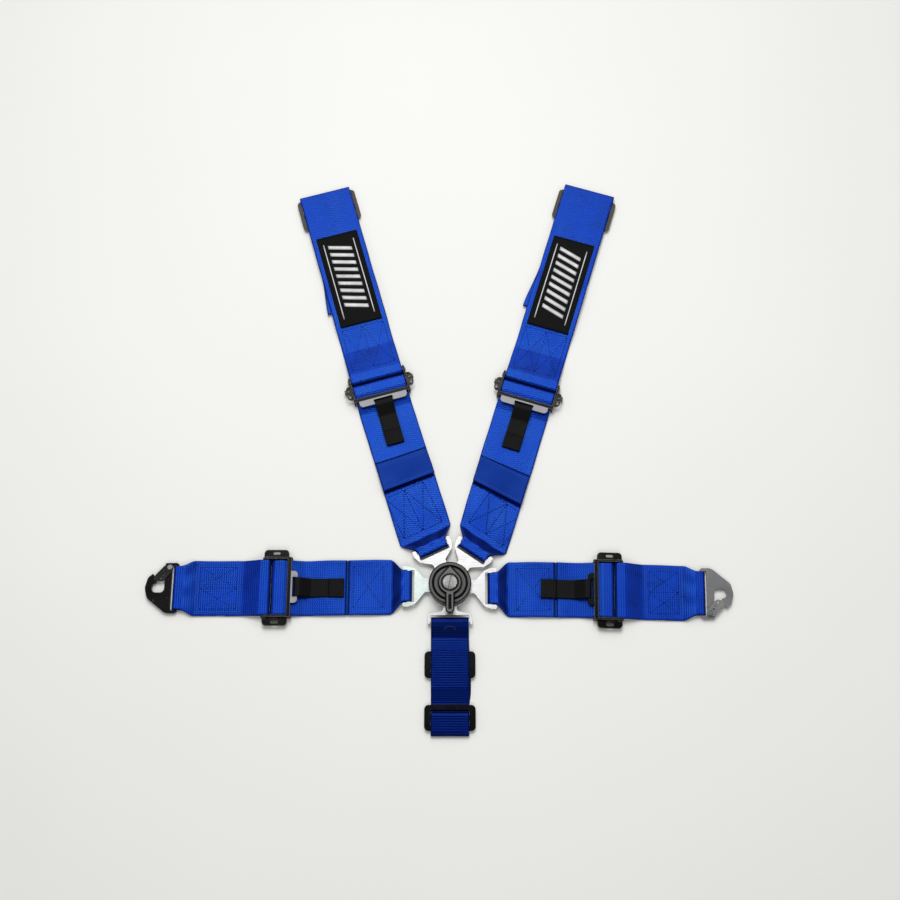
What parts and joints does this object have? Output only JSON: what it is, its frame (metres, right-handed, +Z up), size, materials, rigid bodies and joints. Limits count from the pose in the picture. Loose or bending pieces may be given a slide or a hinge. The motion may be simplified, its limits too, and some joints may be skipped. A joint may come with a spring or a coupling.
{
  "type": "racing harness",
  "caption": "Racing harness laid flat: round rotary buckle, wide webbing arms with adjusters, pull tabs, snap hooks and slides.",
  "frame": {"origin": "centre of the buckle's flat back, on the surface that the harness lies on", "axes": "+Z up off the surface, through the dial; +Y towards the shoulder straps, -Y towards the crotch strap, +X towards the lap strap with the grey hook"},
  "size_m": [0.8002, 0.8214, 0.0242],
  "materials": {
    "webbing": "woven royal blue polyester",
    "webbing_crotch": "woven royal blue polyester, two inch",
    "tab_webbing": "woven black polyester",
    "patch": "black coated cloth with a plain pale pattern",
    "tongue_plate": "polished plated steel",
    "tongue_fixed": "plated steel, slightly green",
    "buckle_housing": "satin gunmetal",
    "buckle_dial": "satin gunmetal",
    "lever": "satin gunmetal",
    "pivot_ring": "black",
    "pivot_screw": "scuffed bare steel",
    "tail_pad": "black",
    "adjuster_black": "black coated steel",
    "bar_steel": "dark plated steel",
    "lever_plate_grey": "pale grey satin",
    "lever_plate_black": "black satin",
    "slide_black": "brown-black satin",
    "hook_black": "black coated steel",
    "hook_steel": "grey zinc-plated steel",
    "gate_black": "black coated steel",
    "gate_steel": "grey zinc-plated steel",
    "rivet": "bright steel"
  },
  "bodies": {
    "buckle": {"buckle_base": "buckle_housing", "buckle_cover": "buckle_housing", "tongue_lap_left": "tongue_fixed"},
    "handle": {"buckle_dial": "buckle_dial", "release_lever": "lever", "pivot_ring": "pivot_ring", "pivot_screw": "pivot_screw", "lever_tail_pad": "tail_pad"},
    "tongue_shoulder_left": {"tongue_shoulder_left": "tongue_plate"},
    "strap_lower_shoulder_left": {"strap_lower_shoulder_left": "webbing"},
    "tongue_shoulder_right": {"tongue_shoulder_right": "tongue_plate"},
    "strap_lower_shoulder_right": {"strap_lower_shoulder_right": "webbing"},
    "strap_lower_lap_left": {"strap_lower_lap_left": "webbing"},
    "tongue_lap_right": {"tongue_lap_right": "tongue_plate"},
    "strap_lower_lap_right": {"strap_lower_lap_right": "webbing"},
    "tongue_crotch": {"tongue_crotch": "tongue_plate"},
    "strap_crotch": {"strap_crotch": "webbing_crotch", "slide_crotch_lower": "slide_black"},
    "lock_bar_shoulder_left": {"lock_bar_shoulder_left": "bar_steel"},
    "adjuster_shoulder_left": {"adjuster_frame_shoulder_left": "adjuster_black", "rear_bar_shoulder_left": "bar_steel", "lever_plate_shoulder_left": "lever_plate_grey"},
    "pull_tab_shoulder_left": {"pull_tab_shoulder_left": "tab_webbing"},
    "strap_upper_shoulder_left": {"strap_upper_shoulder_left": "webbing", "patch_shoulder_left": "patch"},
    "lock_bar_shoulder_right": {"lock_bar_shoulder_right": "bar_steel"},
    "adjuster_shoulder_right": {"adjuster_frame_shoulder_right": "adjuster_black", "rear_bar_shoulder_right": "bar_steel", "lever_plate_shoulder_right": "lever_plate_grey"},
    "pull_tab_shoulder_right": {"pull_tab_shoulder_right": "tab_webbing"},
    "strap_upper_shoulder_right": {"strap_upper_shoulder_right": "webbing", "patch_shoulder_right": "patch"},
    "lock_bar_lap_left": {"lock_bar_lap_left": "bar_steel"},
    "adjuster_lap_left": {"adjuster_frame_lap_left": "adjuster_black", "rear_bar_lap_left": "bar_steel", "lever_plate_lap_left": "lever_plate_grey"},
    "pull_tab_lap_left": {"pull_tab_lap_left": "tab_webbing"},
    "strap_upper_lap_left": {"strap_upper_lap_left": "webbing"},
    "lock_bar_lap_right": {"lock_bar_lap_right": "bar_steel"},
    "adjuster_lap_right": {"adjuster_frame_lap_right": "adjuster_black", "rear_bar_lap_right": "bar_steel", "lever_plate_lap_right": "lever_plate_black"},
    "pull_tab_lap_right": {"pull_tab_lap_right": "tab_webbing"},
    "strap_upper_lap_right": {"strap_upper_lap_right": "webbing"},
    "slide_shoulder_left": {"slide_shoulder_left": "slide_black"},
    "slide_shoulder_right": {"slide_shoulder_right": "slide_black"},
    "slide_crotch_upper": {"slide_crotch_upper": "slide_black"},
    "snap_hook_lap_left": {"snap_hook_lap_left": "hook_black", "hook_rivet_lap_left": "rivet"},
    "hook_gate_lap_left": {"hook_gate_lap_left": "gate_black"},
    "snap_hook_lap_right": {"snap_hook_lap_right": "hook_steel", "hook_rivet_lap_right": "rivet"},
    "hook_gate_lap_right": {"hook_gate_lap_right": "gate_steel"}
  },
  "joints": [
    {"name": "handle_turn", "type": "hinge", "parent": "buckle", "child": "handle", "pos_m": [0, 0, 0.016], "axis": [0, 0, 1], "range_deg": [-40, 40], "stiffness_Nm_per_rad": 0.3},
    {"name": "tongue_slide_shoulder_left", "type": "slide", "parent": "buckle", "child": "tongue_shoulder_left", "axis": [-0.4249, 0.9052, 0], "range_m": [0, 0.024]},
    {"name": "tongue_hinge_shoulder_left", "type": "hinge", "parent": "tongue_shoulder_left", "child": "strap_lower_shoulder_left", "pos_m": [-0.023, 0.049, 0.0078], "axis": [0.9026, 0.4305, 0], "range_deg": [-30, 45]},
    {"name": "tongue_slide_shoulder_right", "type": "slide", "parent": "buckle", "child": "tongue_shoulder_right", "axis": [0.5675, 0.8234, 0], "range_m": [0, 0.024]},
    {"name": "tongue_hinge_shoulder_right", "type": "hinge", "parent": "tongue_shoulder_right", "child": "strap_lower_shoulder_right", "pos_m": [0.0315, 0.0457, 0.0078], "axis": [0.8241, -0.5664, 0], "range_deg": [-30, 45]},
    {"name": "tongue_hinge_lap_left", "type": "hinge", "parent": "buckle", "child": "strap_lower_lap_left", "pos_m": [-0.056, -0.0023, 0.0078], "axis": [0, 1, 0], "range_deg": [-30, 45]},
    {"name": "tongue_slide_lap_right", "type": "slide", "parent": "buckle", "child": "tongue_lap_right", "axis": [0.9951, -0.0986, 0], "range_m": [0, 0.024]},
    {"name": "tongue_hinge_lap_right", "type": "hinge", "parent": "tongue_lap_right", "child": "strap_lower_lap_right", "pos_m": [0.0555, -0.0055, 0.0078], "axis": [0, -1, 0], "range_deg": [-30, 45]},
    {"name": "tongue_slide_crotch", "type": "slide", "parent": "buckle", "child": "tongue_crotch", "axis": [0, -1, 0], "range_m": [0, 0.024]},
    {"name": "tongue_hinge_crotch", "type": "hinge", "parent": "tongue_crotch", "child": "strap_crotch", "pos_m": [0, -0.0497, 0.0078], "axis": [-1, 0, 0], "range_deg": [-30, 45]},
    {"name": "adjuster_tilt_shoulder_left", "type": "hinge", "parent": "strap_lower_shoulder_left", "child": "lock_bar_shoulder_left", "pos_m": [-0.10168, 0.2932, 0.0053], "axis": [-0.9622, -0.2723, 0], "range_deg": [0, 25]},
    {"name": "lock_release_shoulder_left", "type": "slide", "parent": "lock_bar_shoulder_left", "child": "adjuster_shoulder_left", "axis": [0.2723, -0.9622, 0], "range_m": [0, 0.0025]},
    {"name": "tab_lift_shoulder_left", "type": "hinge", "parent": "adjuster_shoulder_left", "child": "pull_tab_shoulder_left", "pos_m": [-0.09392, 0.26577, 0.012], "axis": [-0.9622, -0.2723, 0], "range_deg": [0, 120]},
    {"name": "strap_hinge_shoulder_left", "type": "hinge", "parent": "adjuster_shoulder_left", "child": "strap_upper_shoulder_left", "pos_m": [-0.10522, 0.30571, 0.007], "axis": [0.9622, 0.2723, 0], "range_deg": [-20, 40]},
    {"name": "adjuster_tilt_shoulder_right", "type": "hinge", "parent": "strap_lower_shoulder_right", "child": "lock_bar_shoulder_right", "pos_m": [0.11254, 0.28435, 0.0053], "axis": [-0.9563, 0.2924, 0], "range_deg": [0, 25]},
    {"name": "lock_release_shoulder_right", "type": "slide", "parent": "lock_bar_shoulder_right", "child": "adjuster_shoulder_right", "axis": [-0.2924, -0.9563, 0], "range_m": [0, 0.0025]},
    {"name": "tab_lift_shoulder_right", "type": "hinge", "parent": "adjuster_shoulder_right", "child": "pull_tab_shoulder_right", "pos_m": [0.10421, 0.2571, 0.012], "axis": [-0.9563, 0.2924, 0], "range_deg": [0, 120]},
    {"name": "strap_hinge_shoulder_right", "type": "hinge", "parent": "adjuster_shoulder_right", "child": "strap_upper_shoulder_right", "pos_m": [0.11634, 0.29678, 0.007], "axis": [0.9563, -0.2924, 0], "range_deg": [-20, 40]},
    {"name": "adjuster_tilt_lap_left", "type": "hinge", "parent": "strap_lower_lap_left", "child": "lock_bar_lap_left", "pos_m": [-0.237, -0.004, 0.0053], "axis": [0, -1, 0], "range_deg": [0, 25]},
    {"name": "lock_release_lap_left", "type": "slide", "parent": "lock_bar_lap_left", "child": "adjuster_lap_left", "axis": [1, 0, 0], "range_m": [0, 0.0025]},
    {"name": "tab_lift_lap_left", "type": "hinge", "parent": "adjuster_lap_left", "child": "pull_tab_lap_left", "pos_m": [-0.2085, -0.004, 0.012], "axis": [0, -1, 0], "range_deg": [0, 120]},
    {"name": "strap_hinge_lap_left", "type": "hinge", "parent": "adjuster_lap_left", "child": "strap_upper_lap_left", "pos_m": [-0.25, -0.004, 0.007], "axis": [0, 1, 0], "range_deg": [-20, 60]},
    {"name": "adjuster_tilt_lap_right", "type": "hinge", "parent": "strap_lower_lap_right", "child": "lock_bar_lap_right", "pos_m": [0.217, -0.00774, 0.0053], "axis": [0.0297, 0.9996, 0], "range_deg": [0, 25]},
    {"name": "lock_release_lap_right", "type": "slide", "parent": "lock_bar_lap_right", "child": "adjuster_lap_right", "axis": [-0.9996, 0.0297, 0], "range_m": [0, 0.0025]},
    {"name": "tab_lift_lap_right", "type": "hinge", "parent": "adjuster_lap_right", "child": "pull_tab_lap_right", "pos_m": [0.18851, -0.00689, 0.012], "axis": [0.0297, 0.9996, 0], "range_deg": [0, 120]},
    {"name": "strap_hinge_lap_right", "type": "hinge", "parent": "adjuster_lap_right", "child": "strap_upper_lap_right", "pos_m": [0.22999, -0.00812, 0.007], "axis": [-0.0297, -0.9996, 0], "range_deg": [-20, 60]},
    {"name": "slide_travel_shoulder_left", "type": "slide", "parent": "strap_upper_shoulder_left", "child": "slide_shoulder_left", "axis": [0.2723, -0.9622, 0], "range_m": [0, 0.08]},
    {"name": "slide_travel_shoulder_right", "type": "slide", "parent": "strap_upper_shoulder_right", "child": "slide_shoulder_right", "axis": [-0.2924, -0.9563, 0], "range_m": [0, 0.08]},
    {"name": "slide_crotch_upper_travel", "type": "slide", "parent": "strap_crotch", "child": "slide_crotch_upper", "axis": [0, -1, 0], "range_m": [0, 0.012]},
    {"name": "hook_hinge_lap_left", "type": "hinge", "parent": "strap_upper_lap_left", "child": "snap_hook_lap_left", "pos_m": [-0.372, -0.004, 0.0045], "axis": [0, 1, 0], "range_deg": [-45, 75]},
    {"name": "gate_lap_left", "type": "hinge", "parent": "snap_hook_lap_left", "child": "hook_gate_lap_left", "pos_m": [-0.3825, 0.024, 0.007], "axis": [0, 0, 1], "range_deg": [0, 28], "stiffness_Nm_per_rad": 0.05},
    {"name": "hook_hinge_lap_right", "type": "hinge", "parent": "strap_upper_lap_right", "child": "snap_hook_lap_right", "pos_m": [0.34194, -0.01145, 0.0045], "axis": [-0.0297, -0.9996, 0], "range_deg": [-45, 75]},
    {"name": "gate_lap_right", "type": "hinge", "parent": "snap_hook_lap_right", "child": "hook_gate_lap_right", "pos_m": [0.35161, -0.03975, 0.007], "axis": [0, 0, 1], "range_deg": [0, 28], "stiffness_Nm_per_rad": 0.05}
  ]
}
